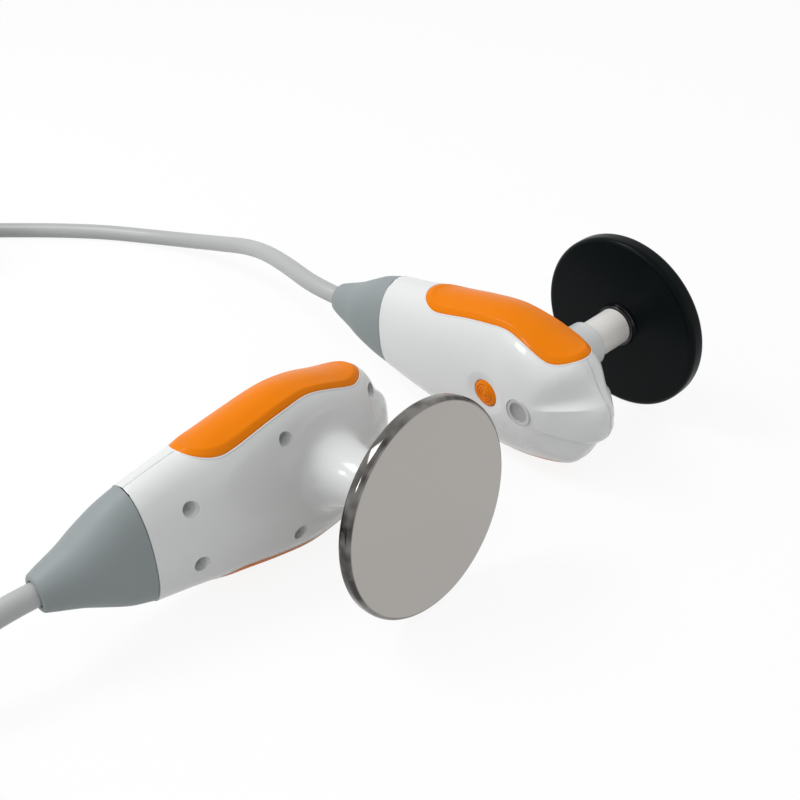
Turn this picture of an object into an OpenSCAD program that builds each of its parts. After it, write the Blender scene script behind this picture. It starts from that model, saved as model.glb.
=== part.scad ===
// Pair of radio frequency treatment handpieces, lying on a table with their leads.
// One has a polished steel disc, the other a black coated disc, on the same handle.
// Millimetres, +Z up. The origin is on the table, under the middle of the two handpieces.
// A handle is drawn in its own frame: its electrode's axis is +Z, its nose points to +X
// and its two grips lie on the +Y and -Y sides.

/* [Electrodes] */
// Diameter of both electrode discs
disc_d = 70; // [66:0.5:72]
// Thickness of the steel disc
steel_disc_t = 4.6; // [3.5:0.1:6]
// Thickness of the black disc with its coating
black_disc_t = 7; // [5.5:0.1:8]
// Height of a disc's back over the handle's origin
disc_back_z = 45.5; // [44:0.5:48]
// Outer diameter of the pale sleeve that carries the disc
sleeve_d = 14.4; // [13.6:0.2:15]
// How far an electrode pulls out of its handle
pull_out = 30; // [15:1:30]

/* [Handle] */
// Thickness of the shells
wall = 2.4; // [2:0.1:2.6]
// Depth of a grip below the shell's surface
grip_depth = 1.4; // [1:0.1:1.6]
// How far a grip stands out of the shell
grip_proud = 0.4; // [0.2:0.1:0.8]
// Diameter of the deep screw holes
screw_hole_d = 4.7; // [4.6:0.1:5]
// Diameter of the neck's top, that the electrode plugs into
neck_d = 17.8; // [17.4:0.2:19]

/* [Button] */
// Diameter of the round push button
button_d = 10.4; // [10:0.1:11]
// How far the button goes in
button_travel = 1; // [0.6:0.1:1.2]
// Diameter of the round indicator window
window_d = 10.6; // [10:0.1:11]

/* [Lead] */
// Diameter of the lead
lead_d = 7.5; // [7:0.1:7.6]
// Radius of a coil's outermost turn, to the middle of the lead
coil_r = 45; // [44:0.5:46]
// Distance between a coil's turns and between its layers
coil_pitch = 8.1; // [8.1:0.1:8.4]
// Turns in the steel handpiece's coil
steel_turns = 6.885; // [6.885]
// Turns in the black handpiece's coil
black_turns = 6.236; // [6.236]

/* [Hidden] */
$fn = 48;

// Where each handle's origin is, and how it is turned: roll, pitch and heading
steel_at = [-31, -27.5, 30.6];
steel_turn = [84.8, -1.5, 48.3];
black_at = [46.7, 27.9, 29.7];
black_turn = [-83.8, 1.9, -47.9];

// The handle's outline along X: place, half width, top, bottom, seam height, lean of the section
handle_rows = [
    [-63, 19.8,  1.3, -22.2, -10.2, -0.12],
    [-50, 22.3,  2.9, -22.5,  -9.2, -0.05],
    [-36, 24.8,  6.2, -22.4,  -7.8,  0],
    [-22, 27.4,  8.4, -21.8,  -6.4,  0],
    [ -8, 29.3,  9.6, -21.4,  -5.2,  0],
    [  4, 28.1, 10.7, -21.6,  -4.6,  0],
    [ 14, 25.6, 10.8, -21.0,  -4.2,  0],
    [ 21, 24.0,  9.0, -18.9,  -4,    0],
    [ 24.5, 22.8, 7.5, -16.9, -4,    0],
    [ 26.5, 21.2, 6.5, -15.7, -4,    0],
    [ 28.3, 18.7, 5.6, -14.6, -4,    0],
    [ 30.1, 15.0, 4.7, -13.6, -4,    0],
    [ 32.1, 11.8, 3.3, -12.3, -4,    0],
    [ 34,  9.4,  1.6, -10.9,  -4,    0],
    [ 36,  7.2, -0.2,  -9.0,  -4,    0],
    [ 37.1, 4.8, -1.5,  -7.2, -4,    0],
    [ 37.6, 2.0, -2.7,  -5.4, -4,    0]
];
handle_steps = 2;
// Where the hollow ends in the nose, and how far it stays back from the nose's steep front
hollow_end = 32.5;
hollow_back = 1.8;
arc_steps = 12;
squareness = 2.3;

// The rubber boot along X: place, half width, half thickness, height of its middle, lean
boot_rows = [
    [-94.6,  5.4,  5.4, -14.4, -0.10],
    [-94.0,  6.1,  6.1, -14.3, -0.10],
    [-91,    7.1,  6.9, -14.0, -0.10],
    [-84,    9.9,  8.9, -13.1, -0.11],
    [-78,   13.2, 10.5, -12.4, -0.11],
    [-71,   17.0, 11.4, -11.4, -0.12],
    [-65,   19.2, 11.7, -10.7, -0.12],
    [-63,   19.8, 11.75, -10.45, -0.12]
];
boot_spigot = 5;
cable_slope = 6.9;
boot_tip = [-94.6, 0, -14.4];

// The grips along X: their two ends, the end's roundness, and half their height as an angle of the section
grip_from = -44.2;
grip_to = 25.5;
grip_rear_round = 11;
grip_front_round = 9.5;
grip_outline = [[-45, 38], [-31, 37.4], [-20, 34.4], [-10, 32.6], [-1, 29.3], [8, 32], [17, 35], [27, 36]];
grip_steps = 18;

// Screw places: X, Y and seam height there
screw_spots = [[-50.2, 10, -9.2], [-15.1, 17.4, -5.8], [24.6, 15.3, -4]];
screw_d = 2.6;
head_d = 4.4;
head_h = 1.8;
head_rest = 3.2;
boss_r = 3.9;

button_x = -5.8;
window_x = 10.5;
fit = 0.06;
board_z = -11;
board_t = 1.6;
face_z = -21.5;
window_z = -21.2;
land_z = -18.7;

neck_top = 28;
seal_z = 16.4;
plug_in_z = 8;
socket_low = -6;
pin_d = 5;

r_lead = lead_d / 2;

// The leads' routes, from inside the boot to the coil
steel_route = [
    [-101.6, -85.9, 26.9], [-109.1, -92.5, 26.5], [-118.4, -100.5, 24.5], [-129.2, -110, 19.5],
    [-140, -119.8, 13.2], [-150, -129.2, 7.8], [-159.6, -138.2, 4.7], [-168.4, -146.3, 3.75]
];
black_route = [
    [-24.3, 85.9, 31.2], [-31.8, 92.5, 31.3], [-41.4, 104, 31.1], [-52.2, 122, 30], [-63, 142, 26.6],
    [-75, 163, 20.6], [-90, 183, 13.4], [-108, 200, 7.6], [-130, 212.5, 4.4], [-155, 219.5, 3.8],
    [-180, 222.2, 3.75], [-206, 222.6, 3.75], [-230, 222, 3.75], [-248.3, 220.5, 3.75]
];
steel_coil_at = [-151, -191];
steel_coil_start = 131.4;
black_coil_at = [-260, 174];
black_coil_start = 96;

// Values along a table of rows, smoothed by a Catmull-Rom curve through them
function row_at(rows, i) = rows[min(max(i, 0), len(rows) - 1)];
function blend(a, b, c, d, t) =
    0.5 * (2 * b + (c - a) * t + (2 * a - 5 * b + 4 * c - d) * t * t + (3 * b - a - 3 * c + d) * t * t * t);
function smoothed(rows, n) = [
    for (i = [0 : len(rows) - 2], k = [0 : n - 1])
        blend(row_at(rows, i - 1), rows[i], rows[i + 1], row_at(rows, i + 2), k / n),
    rows[len(rows) - 1]
];
function segment_of(rows, x, i = 0) =
    (i >= len(rows) - 2 || rows[i + 1][0] >= x) ? i : segment_of(rows, x, i + 1);
function row_for(rows, x) =
    let (i = segment_of(rows, x), t = (x - rows[i][0]) / (rows[i + 1][0] - rows[i][0]))
        rows[i] + (rows[i + 1] - rows[i]) * t;

shell_rows = smoothed(handle_rows, handle_steps);

// One point of the handle's rounded section: angle 0 is on +Y, 90 on top
function power(v, p) = sign(v) * pow(abs(v), p);
function skin_point(row, angle, inset) =
    let (w = row[1] - inset, rise = (sin(angle) >= 0 ? row[2] - row[4] : row[4] - row[3]) - inset,
         y = w * power(cos(angle), 2 / squareness), z = rise * power(sin(angle), 2 / squareness))
        [row[0] + row[5] * z, y, row[4] + z];

// Ring faces between two rows of points, and the fans that close them
function strip(a, b, n, flip) = [
    for (j = [0 : n - 2]) each flip
        ? [[a + j, b + j + 1, a + j + 1], [a + j, b + j, b + j + 1]]
        : [[a + j, a + j + 1, b + j + 1], [a + j, b + j + 1, b + j]]
];

// Half of the handle's shell, from the seam up (side 1) or down (side -1), with a solid nose
module half_shell(side) {
    rows = shell_rows;
    last = len(rows) - 1;
    m = arc_steps + 1;
    outer = [for (i = [0 : last], j = [0 : arc_steps]) skin_point(rows[i], side * 180 * j / arc_steps, 0)];
    back = max([for (i = [0 : last]) if (rows[i][0] <= hollow_end) i]);
    inner = [
        for (i = [0 : back], j = [0 : arc_steps])
            skin_point(rows[i], side * 180 * j / arc_steps, wall) - [kept_back(rows[i][0]), 0, 0]
    ];
    o = len(outer);
    front_mid = [rows[last][0], 0, rows[last][4]];
    back_mid = [rows[back][0] - kept_back(rows[back][0]), 0, rows[back][4]];
    f = o + len(inner);
    b = f + 1;
    up = side > 0;
    faces = concat(
        [for (i = [0 : last - 1]) each strip(i * m, (i + 1) * m, m, up)],
        [for (i = [0 : back - 1]) each strip(o + i * m, o + (i + 1) * m, m, !up)],
        strip(0, o, m, !up),
        [for (i = [0 : back - 1]) each strip_pair(i * m, o + i * m, m, up)],
        [for (i = [0 : back - 1]) each strip_pair(i * m + m - 1, o + i * m + m - 1, m, !up)],
        [for (j = [0 : m - 2]) turned([last * m + j, last * m + j + 1, f], up)],
        [for (j = [0 : m - 2]) turned([o + back * m + j, o + back * m + j + 1, b], !up)],
        nose_seam(back * m, m, last - back, f, b, o + back * m, up),
        nose_seam(back * m + m - 1, m, last - back, f, b, o + back * m + m - 1, !up)
    );
    polyhedron(concat(outer, inner, [front_mid, back_mid]), faces, convexity = 6);
}
function kept_back(x) = hollow_back * min(max((x - 14) / 12, 0), 1);
function turned(face, up) = up ? [face[0], face[2], face[1]] : face;
function strip_pair(outer, inner, m, up) = [
    turned([outer, outer + m, inner + m], up), turned([outer, inner + m, inner], up)
];
function nose_seam(start, m, count, f, b, hollow, up) = [
    turned([start, start + m, hollow], up),
    turned([hollow, start + m, b], up),
    for (k = [1 : count - 1]) turned([start + k * m, start + (k + 1) * m, b], up),
    turned([start + count * m, f, b], up)
];

// Half the grip's height at a place along X, as an angle: its ends are rounded
function round_end(s) = sqrt(1 - pow(1 - min(max(s, 0), 1), 2));
function grip_angle(x) =
    lookup(x, grip_outline) * round_end((x - grip_from) / grip_rear_round)
        * round_end((grip_to - x) / grip_front_round);

// The band on one side of the handle: a slab that follows the skin, with rounded ends
module grip_solid(side) {
    mid = (grip_from + grip_to) / 2;
    half = (grip_to - grip_from) / 2;
    m = 7;
    us = [for (k = [0 : grip_steps]) sin(90 * (2 * k / grip_steps - 1)) * 0.996];
    function at(u, j, inset) =
        let (x = mid + half * u, angle = grip_angle(x) * (2 * j / (m - 1) - 1),
             p = skin_point(row_for(shell_rows, x), angle, inset))
            [p[0], side * p[1], p[2]];
    pts = [
        for (u = us) each concat([for (j = [0 : m - 1]) at(u, j, -grip_proud)],
                                 [for (j = [m - 1 : -1 : 0]) at(u, j, grip_depth)])
    ];
    tube_solid(pts, 2 * m, len(us), side < 0);
}

// A closed solid from rings of points, n points each; both ends are closed by fans
module tube_solid(points, n, rings, flip) {
    sides = [
        for (i = [0 : rings - 2], j = [0 : n - 1])
            let (a = i * n + j, b = i * n + (j + 1) % n, c = a + n, d = b + n)
                each flip ? [[a, b, d], [a, d, c]] : [[a, d, b], [a, c, d]]
    ];
    first = [for (j = [1 : n - 2]) flip ? [0, j + 1, j] : [0, j, j + 1]];
    z = (rings - 1) * n;
    end = [for (j = [1 : n - 2]) flip ? [z, z + j, z + j + 1] : [z, z + j + 1, z + j]];
    polyhedron(points, concat(sides, first, end), convexity = 8);
}

// A tube swept along a path of points
function unit(v) = v / norm(v);
function heading(path, i) = unit(path[min(i + 1, len(path) - 1)] - path[max(i - 1, 0)]);
function tube_ring(p, d, r, n) =
    let (side = unit(cross(d, [0, 0, 1])), up = cross(side, d))
        [for (j = [0 : n - 1]) p + r * (cos(360 * (j + 0.5) / n) * side + sin(360 * (j + 0.5) / n) * up)];
module tube(path, r, n) {
    rings = [for (i = [0 : len(path) - 1]) each tube_ring(path[i], heading(path, i), r, n)];
    tube_solid(rings, n, len(path), true);
}
function curved(points, n) = [
    for (i = [0 : len(points) - 2], k = [0 : n - 1])
        blend(row_at(points, i - 1), points[i], points[i + 1], row_at(points, i + 2), k / n),
    points[len(points) - 1]
];

// A coil's line: it spirals in and out in four layers, and climbs where the spiral reverses
layers = 4;
ring_per_turn = 24;
function wave(t) = let (k = floor(t), u = t - k) k % 2 == 0 ? u : 1 - u;
function climb(t, span) = min(max((t + span) / (2 * span), 0), 1);
function coil_point(at, start, turns, s) =
    let (q = turns / layers, r = coil_r - coil_pitch * q * wave(s / q), a = start + 360 * s,
         level = climb(s - q, 0.25) + climb(s - 2 * q, 0.25) + climb(s - 3 * q, 0.25))
        [at[0] + r * cos(a), at[1] + r * sin(a), r_lead + coil_pitch * level];
function coil_path(at, start, turns) =
    let (n = round(turns * ring_per_turn),
         body = [for (i = [0 : n]) coil_point(at, start, turns, turns * i / n)],
         first = [-sin(start), cos(start), 0], end_a = start + 360 * turns,
         last = [-sin(end_a), cos(end_a), 0])
        concat([body[0] - first * lead_d], body, [body[n] + last * lead_d]);
steel_coil = coil_path(steel_coil_at, steel_coil_start, steel_turns);
black_coil = coil_path(black_coil_at, black_coil_start, black_turns);

// The short end of a lead, from the top of its coil down to its plug on the table
tail_down = [[0, 0], [0.15, 0], [0.38, -1.6], [0.6, -6.6], [0.79, -12.6], [0.92, -15.6], [1, -16.2]];
tail_run = 66;
plug_axis_z = 8;
function tail_path(coil, drop) =
    let (e = coil[len(coil) - 1], d = unit(e - coil[len(coil) - 2]))
        [for (t = tail_down) e + d * tail_run * t[0] + [0, 0, (t[1] / 16.2) * drop]];
top_of_coil = r_lead + coil_pitch * (layers - 1);
steel_tail = tail_path(steel_coil, top_of_coil - plug_axis_z);
black_tail = tail_path(black_coil, top_of_coil - plug_axis_z);

// Least gap between the turns of a coil, measured on its points
function gap_between(path, skip) = min([
    for (i = [0 : 2 : len(path) - 1 - skip], j = [i + skip : 1 : len(path) - 1]) norm(path[i] - path[j])
]) - lead_d;
steel_lead = curved(concat(steel_route, [steel_coil[0]]), 2);
black_lead = curved(concat(black_route, [black_coil[0]]), 2);
function run_of(path) = [for (i = [1 : len(path) - 1]) norm(path[i] - path[i - 1])];
function sum_of(v) = v * [for (x = v) 1];
echo("least gap in the steel handpiece's coil", gap_between(steel_coil, 12));
echo("least gap in the black handpiece's coil", gap_between(black_coil, 12));
echo("lead lengths", sum_of(run_of(steel_lead)) + sum_of(run_of(steel_coil)) + sum_of(run_of(steel_tail)),
     sum_of(run_of(black_lead)) + sum_of(run_of(black_coil)) + sum_of(run_of(black_tail)));

module on_steel() translate(steel_at) rotate(steel_turn) children();
module on_black() translate(black_at) rotate(black_turn) children();
module along_cable(from)
    translate(boot_tip) rotate([0, 90 - cable_slope, 0]) translate([0, 0, from]) children();
module screw_places() for (s = screw_spots, side = [-1, 1]) translate([s[0], side * s[1], s[2]]) children();

// The shell with the neck: six deep screw holes, and the sleeve's bore
module electrode_side_shell() color("whitesmoke") difference() {
    union() {
        difference() {
            half_shell(1);
            grip_solid(1);
            grip_solid(-1);
        }
        neck();
        for (s = screw_spots, side = [-1, 1])
            translate([s[0], side * s[1], s[2]]) cylinder(r = boss_r, h = screw_top(s) - s[2]);
    }
    translate([0, 0, plug_in_z]) cylinder(d = sleeve_d + 2 * fit, h = neck_top - plug_in_z + 1, $fn = 64);
    translate([0, 0, -3]) cylinder(d = 10, h = 20);
    translate([0, 0, seal_z - 0.9]) cylinder(d = sleeve_d + 2.6, h = 1.8, $fn = 64);
    screw_places() translate([0, 0, -1]) cylinder(d = screw_d + 0.3, h = 30);
    screw_places() translate([0, 0, head_rest]) cylinder(d = screw_hole_d, h = 30);
}
// Height of the skin over or under a place, and of a boss that stays just inside the skin all round
function skin_z(x, y, side) =
    let (row = row_for(shell_rows, x), rise = side > 0 ? row[2] - row[4] : row[3] - row[4])
        row[4] + rise * pow(max(1 - pow(abs(y) / row[1], squareness), 0), 1 / squareness);
boss_round = [for (a = [0 : 30 : 330]) [boss_r * cos(a), boss_r * sin(a)]];
function screw_top(s) = min([for (p = boss_round) skin_z(s[0] + p[0], s[1] + p[1], 1)]) - 0.4;
function pillar_low(s) = max([for (p = boss_round) skin_z(s[0] + p[0], s[1] + p[1], -1)]) + 0.4;
module neck() {
    flare_r = 20.5;
    low_z = 5.4;
    start_z = 6.2;
    flare_h = neck_top - 0.8 - start_z;
    steps = 10;
    // Quarter ellipse from the shell up to the neck
    arc = [
        for (k = [0 : steps])
            [neck_d / 2 + (flare_r - neck_d / 2) * (1 - sin(90 * k / steps)),
             start_z + flare_h * (1 - cos(90 * k / steps))]
    ];
    rotate_extrude($fn = 72) polygon(concat(
        [[4, low_z], [flare_r, low_z]], arc,
        [[neck_d / 2, neck_top - 0.6], [neck_d / 2 - 0.6, neck_top], [4, neck_top]]
    ));
}

// The shell with the button and the window: screw pillars and the clamp's rest inside
module button_side_shell() color("whitesmoke") difference() {
    union() {
        difference() {
            half_shell(-1);
            grip_solid(1);
            grip_solid(-1);
        }
        for (s = screw_spots, side = [-1, 1]) {
            low = pillar_low(s);
            translate([s[0], side * s[1], low]) cylinder(r = boss_r, h = s[2] - low);
        }
        translate([-57, -5, -21.2]) cube([6, 10, 6.7]);
        for (x = [button_x, window_x]) translate([x, 0, -20]) cylinder(r = 7.4, h = 20 + land_z);
        for (x = [-24, 16]) translate([x - 1, -3, -20.4]) cube([2, 6, 20.4 + board_z]);
        for (x = [-24, 16]) translate([x, 0, board_z - 1]) cylinder(d = 2, h = board_t + 1.6);
    }
    screw_places() translate([0, 0, -5.2]) cylinder(d = screw_d + 0.04, h = 10);
    translate([button_x, 0, -26]) cylinder(d = button_d + 2 * fit, h = 12, $fn = 64);
    translate([window_x, 0, -26]) cylinder(d = window_d + 0.04, h = 12, $fn = 64);
    for (x = [button_x, window_x]) translate([x, 0, land_z]) cylinder(r = 6.6, h = 4);
    translate([button_x, 0, face_z - 27.2]) sphere(r = 28.6, $fn = 96);
}
module left_grip() color("darkorange") grip_solid(1);
module right_grip() color("darkorange") grip_solid(-1);

// Soft boot: the shell's outline narrows to the lead; a spigot plugs into the shells
module cable_boot() color("slategray") difference() {
    union() {
        boot_skin(boot_rows, 20);
        boot_spigot_solid();
    }
    along_cable(-1) cylinder(d = lead_d + 0.7, h = 12);
    along_cable(10) cylinder(d = lead_d + 2 * fit, h = 40);
    along_cable(12) cylinder(d1 = 9, d2 = 15, h = 16);
    along_cable(27.9) cylinder(d = 15, h = 12);
}
module boot_skin(rows, n) {
    pts = [
        for (r = rows, j = [0 : n - 1])
            let (y = r[1] * power(cos(360 * j / n), 2 / 2.15), z = r[2] * power(sin(360 * j / n), 2 / 2.15))
                [r[0] + r[4] * z, y, r[3] + z]
    ];
    tube_solid(pts, n, len(rows), false);
}
module boot_spigot_solid() {
    w = handle_rows[0][1] - wall - 0.4;
    t = (handle_rows[0][2] - handle_rows[0][3]) / 2 - wall - 0.4;
    boot_skin([[-64, w, t, -10.45, -0.12], [-63 + boot_spigot, w - 0.2, t - 0.2, -10.2, -0.10]], 20);
}

// Block that grips the lead inside the handle
module cable_clamp() color("dimgray") difference() {
    translate([-56.8, -5.6, -14.5]) cube([5.6, 11.2, 9.8]);
    along_cable(30) cylinder(d = lead_d + 0.04, h = 20);
}
module inner_cable() color("lightgray") along_cable(4.1) cylinder(d = lead_d, h = 40.3);

// Six screws, heads down in the deep holes
module case_screws() color("silver") screw_places() {
    translate([0, 0, head_rest]) difference() {
        cylinder(d = head_d, h = head_h);
        translate([0, 0, 0.9]) cylinder(d = 2, h = 2, $fn = 6);
    }
    translate([0, 0, -5]) cylinder(d = screw_d, h = 5 + head_rest + 0.2);
}

// Round button with a domed face, a flange behind the wall and a stem to the switch
module push_button() color("darkorange") translate([button_x, 0, 0]) rotate_extrude($fn = 64) polygon([
    [0, face_z + 0.1], [2.4, face_z + 0.2], [4, face_z + 0.6], [button_d / 2 - 0.3, face_z + 1.2],
    [button_d / 2, face_z + 1.6], [button_d / 2, -18.6], [6.4, -18.6], [6.4, -17.5], [2.2, -17.5],
    [2.2, -15.7], [0, -15.7]
]);
module switch_plunger() color("dimgray") translate([button_x, 0, -15.7]) cylinder(d = 3.4, h = 2.3);
module switch_body() color("gainsboro") difference() {
    translate([button_x - 3, -3, board_z - 3.4]) cube([6, 6, 3.4]);
    translate([button_x, 0, board_z - 3.5]) cylinder(d = 3.5, h = 2.6);
}
module indicator_window() color("darkgray") translate([window_x, 0, 0]) rotate_extrude($fn = 64) polygon([
    [0, window_z - 0.05], [window_d / 2 - 0.8, window_z], [window_d / 2, window_z + 0.5],
    [window_d / 2, land_z],
    [6.3, land_z], [6.3, -17.9], [3.2, -17.9], [3.2, -18.7], [0, -19.1]
]);
module indicator_led() color("lightyellow") translate([window_x, 0, 0]) rotate_extrude() polygon([
    [0, board_z], [2.9, board_z], [2.9, board_z - 1], [2.5, board_z - 1], [2.5, -14.5], [2.2, -15.6],
    [1.4, -16.4], [0, -16.7]
]);
module circuit_board() color("darkgreen") difference() {
    translate([-27, -10, board_z]) cube([46, 20, board_t]);
    for (x = [-24, 16]) translate([x, 0, board_z - 1]) cylinder(d = 2.2, h = 4);
}

// Insulating bush that holds the contact socket under the neck
module socket_holder() color("ivory") difference() {
    union() {
        translate([0, 0, 2.4]) cylinder(d = 16, h = 3);
        translate([0, 0, 5.3]) cylinder(d = 9.9, h = 2.6);
    }
    cylinder(d = 7.04, h = 10);
}
module electrode_socket() color("goldenrod") difference() {
    translate([0, 0, socket_low]) cylinder(d = 7, h = plug_in_z - 0.2 - socket_low);
    translate([0, 0, socket_low + 1]) cylinder(d = pin_d + 2 * fit, h = 30);
}
module neck_seal() color("black") translate([0, 0, seal_z])
    rotate_extrude($fn = 64) translate([sleeve_d / 2 + 0.66, 0]) circle(r = 0.6, $fn = 16);

// The electrode: a disc on a pale sleeve with a contact pin inside
module electrode_pin() color("silver") {
    translate([0, 0, socket_low + 1.6]) cylinder(d = pin_d, h = disc_back_z - socket_low - 1.6);
}
module electrode_sleeve() color("lightgray") difference() {
    translate([0, 0, plug_in_z + 0.3]) cylinder(d = sleeve_d, h = disc_back_z - plug_in_z - 0.3, $fn = 64);
    translate([0, 0, plug_in_z]) cylinder(d = pin_d + 0.04, h = 50);
}
module disc_collar() color("dimgray") translate([0, 0, disc_back_z - 1.6]) difference() {
    cylinder(d1 = sleeve_d + 1.4, d2 = sleeve_d + 3.4, h = 1.6, $fn = 64);
    translate([0, 0, -1]) cylinder(d = sleeve_d + 0.04, h = 4, $fn = 64);
}
// A disc with rounded rims; the treatment face is flat
module steel_disc() color("silver") electrode_disc(steel_disc_t, 1.6);
module black_disc() color("black") electrode_disc(black_disc_t, 2);
module electrode_disc(t, edge) translate([0, 0, disc_back_z]) rotate_extrude($fn = 128) polygon(concat(
    [[0, 0], [disc_d / 2 - edge, 0]],
    [for (k = [1 : 5]) [disc_d / 2 - edge + edge * sin(15 * k), edge - edge * cos(15 * k)]],
    [[disc_d / 2, edge]], [[disc_d / 2, t - edge]],
    [for (k = [1 : 6]) [disc_d / 2 - edge + edge * cos(15 * k), t - edge + edge * sin(15 * k)]],
    [[0, t]]
));

// Leads from the lead's cut end to the board and to the contact socket
contact_lead = [[-50, 0, -8.9], [-44, 0, -8], [-32, 0, -5.6], [-14, 0, -4.8], [-3.62, 0, -5]];
board_lead = [[-50, 2, -9.2], [-44, 3, -8.6], [-34, 5, -7.6], [-27, 6, -8.1], [-23, 6, -8.7]];
module inner_leads() {
    color("firebrick") tube(curved(contact_lead, 2), 0.65, 6);
    color("royalblue") tube(curved(board_lead, 2), 0.65, 6);
    color("seagreen") tube(curved([for (p = board_lead) [p[0], -p[1], p[2]]], 2), 0.65, 6);
}

// The plug lies on the table; it is drawn along +X from the end of the lead's tail
module at_plug(tail) {
    e = tail[len(tail) - 1];
    d = e - tail[len(tail) - 2];
    translate([e[0], e[1], plug_axis_z]) rotate([0, 0, atan2(d[1], d[0])]) children();
}
module plug_turned(points) rotate([0, 90, 0]) rotate_extrude($fn = 48) polygon(points);
relief_l = 22;
plug_l = 24;
ring_seat_r = 5.5;
module plug_relief() color("dimgray") plug_turned([
    [0, 0], [4.6, 0], [5, 0.6], [6.2, relief_l], [0, relief_l]
]);
module plug_body() color("silver") translate([relief_l, 0, 0]) difference() {
    plug_turned([
        [0, 0], [6.6, 0], [7, 0.4], [7, 9], [ring_seat_r, 9], [ring_seat_r, plug_l - 0.4], [6, plug_l - 0.4],
        [6, plug_l + 8], [0, plug_l + 8]
    ]);
    translate([plug_l, 0, 0]) rotate([0, 90, 0]) cylinder(r = 5, h = 20);
}
module plug_ring() color("gray") translate([relief_l + 9.3, 0, 0]) difference() {
    plug_turned([[0, 0], [7.2, 0], [7.9, 0.7], [7.9, 12.6], [7.2, 13.3], [0, 13.3]]);
    translate([-1, 0, 0]) rotate([0, 90, 0]) cylinder(r = ring_seat_r + fit, h = 20);
}
module plug_pins() color("goldenrod") translate([relief_l + plug_l, 0, 0]) for (k = [0 : 4])
    rotate([72 * k, 0, 0]) translate([0, 0, 2.9]) rotate([0, 90, 0]) cylinder(d = 1, h = 6.5, $fn = 16);

on_steel() electrode_side_shell();  // steel_electrode_side_shell
on_steel() button_side_shell();  // steel_button_side_shell
on_steel() left_grip();  // steel_left_grip
on_steel() right_grip();  // steel_right_grip
on_steel() cable_boot();  // steel_cable_boot
on_steel() cable_clamp();  // steel_cable_clamp
on_steel() case_screws();  // steel_case_screws
on_steel() push_button();  // steel_push_button
on_steel() switch_plunger();  // steel_switch_plunger
on_steel() switch_body();  // steel_switch_body
on_steel() indicator_window();  // steel_indicator_window
on_steel() indicator_led();  // steel_indicator_led
on_steel() circuit_board();  // steel_circuit_board
on_steel() socket_holder();  // steel_socket_holder
on_steel() electrode_socket();  // steel_electrode_socket
on_steel() neck_seal();  // steel_neck_seal
on_steel() electrode_pin();  // steel_electrode_pin
on_steel() electrode_sleeve();  // steel_electrode_sleeve
on_steel() steel_disc();  // steel_electrode_disc
on_steel() disc_collar();  // steel_disc_collar
on_steel() inner_cable();  // steel_inner_cable
on_steel() inner_leads();  // steel_inner_leads
color("lightgray") tube(steel_lead, r_lead, 8);  // steel_cord
color("lightgray") tube(steel_coil, r_lead, 6);  // steel_cord_coil
color("lightgray") tube(curved(steel_tail, 2), r_lead, 8);  // steel_cord_tail
at_plug(steel_tail) plug_body();  // steel_plug_body
at_plug(steel_tail) plug_ring();  // steel_plug_ring
at_plug(steel_tail) plug_pins();  // steel_plug_pins
at_plug(steel_tail) plug_relief();  // steel_plug_relief
on_black() electrode_side_shell();  // black_electrode_side_shell
on_black() button_side_shell();  // black_button_side_shell
on_black() left_grip();  // black_left_grip
on_black() right_grip();  // black_right_grip
on_black() cable_boot();  // black_cable_boot
on_black() cable_clamp();  // black_cable_clamp
on_black() case_screws();  // black_case_screws
on_black() push_button();  // black_push_button
on_black() switch_plunger();  // black_switch_plunger
on_black() switch_body();  // black_switch_body
on_black() indicator_window();  // black_indicator_window
on_black() indicator_led();  // black_indicator_led
on_black() circuit_board();  // black_circuit_board
on_black() socket_holder();  // black_socket_holder
on_black() electrode_socket();  // black_electrode_socket
on_black() neck_seal();  // black_neck_seal
on_black() electrode_pin();  // black_electrode_pin
on_black() electrode_sleeve();  // black_electrode_sleeve
on_black() black_disc();  // black_electrode_disc
on_black() disc_collar();  // black_disc_collar
on_black() inner_cable();  // black_inner_cable
on_black() inner_leads();  // black_inner_leads
color("lightgray") tube(black_lead, r_lead, 8);  // black_cord
color("lightgray") tube(black_coil, r_lead, 6);  // black_cord_coil
color("lightgray") tube(curved(black_tail, 2), r_lead, 8);  // black_cord_tail
at_plug(black_tail) plug_body();  // black_plug_body
at_plug(black_tail) plug_ring();  // black_plug_ring
at_plug(black_tail) plug_pins();  // black_plug_pins
at_plug(black_tail) plug_relief();  // black_plug_relief
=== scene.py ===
"""Two radio frequency treatment handpieces on a pale table, dressed over the CAD frame.

Each handle is modelled in its own frame, in millimetres: the electrode's axis is +Z, the nose points to +X and
the grips lie on +Y and -Y. A finished mesh is turned into its place on the table and into metres.
"""

import math

import bmesh
import bpy
from bpy.props import FloatProperty, FloatVectorProperty, PointerProperty
from mathutils import Euler, Matrix, Vector


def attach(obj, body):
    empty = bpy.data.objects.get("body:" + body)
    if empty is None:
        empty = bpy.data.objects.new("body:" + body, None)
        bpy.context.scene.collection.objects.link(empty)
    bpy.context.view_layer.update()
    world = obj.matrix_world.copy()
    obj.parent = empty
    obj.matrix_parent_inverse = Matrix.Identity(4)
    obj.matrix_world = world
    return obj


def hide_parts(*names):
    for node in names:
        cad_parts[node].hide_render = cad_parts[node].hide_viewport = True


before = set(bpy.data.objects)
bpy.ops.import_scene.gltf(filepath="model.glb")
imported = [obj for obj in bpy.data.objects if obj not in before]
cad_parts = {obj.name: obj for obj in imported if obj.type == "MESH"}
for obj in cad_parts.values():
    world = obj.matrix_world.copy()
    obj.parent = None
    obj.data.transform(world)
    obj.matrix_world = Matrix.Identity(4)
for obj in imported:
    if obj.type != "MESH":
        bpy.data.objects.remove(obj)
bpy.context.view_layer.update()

bl_info = {
    "name": "Radio frequency handpieces",
    "version": (1, 0, 0),
    "blender": (4, 5, 0),
    "location": "3D View > Sidebar > Handpieces",
    "description": "Models and dresses two treatment handpieces with their leads",
    "category": "Object",
}

MM = 0.001

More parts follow.
